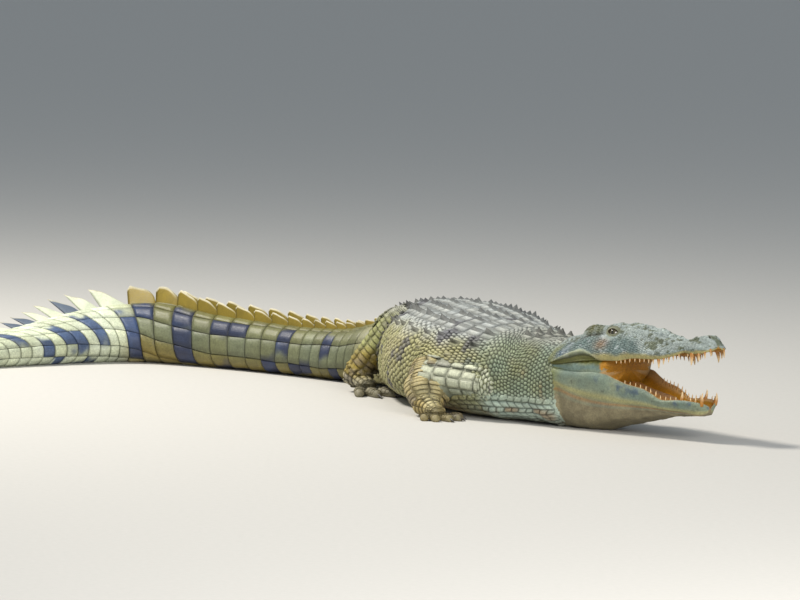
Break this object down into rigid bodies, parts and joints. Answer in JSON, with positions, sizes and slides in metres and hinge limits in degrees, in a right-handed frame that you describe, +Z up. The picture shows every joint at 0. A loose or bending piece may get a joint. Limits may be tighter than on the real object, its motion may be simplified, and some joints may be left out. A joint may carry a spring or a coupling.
{
  "type": "nile crocodile",
  "caption": "Life-size still model of a Nile crocodile basking on its belly with its jaws open.",
  "frame": {"origin": "the middle of the model's bounding box in plan, on the floor it lies on", "axes": "+X from the bend of the tail towards the snout, +Y away from the side that the open mouth shows, +Z up"},
  "size_m": [2.291, 1.8904, 0.2786],
  "materials": {
    "tail_hide": "satin scaled hide",
    "trunk_hide": "satin scaled hide",
    "neck_hide": "satin scaled hide",
    "limb_hide": "satin scaled hide",
    "head_hide": "satin skin tight over bone",
    "eye": "wet gloss",
    "mouth_lining": "moist satin"
  },
  "bodies": {
    "root": {"neck": "neck_hide", "trunk_front": "trunk_hide", "trunk_rear": "trunk_hide", "tail_1": "tail_hide", "tail_2": "tail_hide", "tail_3": "tail_hide", "tail_4": "tail_hide", "tail_5": "tail_hide", "tail_6": "tail_hide", "cranium": "head_hide", "lower_jaw": "head_hide", "eye_left": "eye", "eye_right": "eye", "cheeks": "mouth_lining", "tongue": "mouth_lining", "upper_arm_right": "limb_hide", "forearm_right": "limb_hide", "hand_right": "limb_hide", "thigh_right": "limb_hide", "shank_right": "limb_hide", "foot_right": "limb_hide", "upper_arm_left": "limb_hide", "forearm_left": "limb_hide", "hand_left": "limb_hide", "thigh_left": "limb_hide", "shank_left": "limb_hide", "foot_left": "limb_hide"}
  },
  "joints": []
}
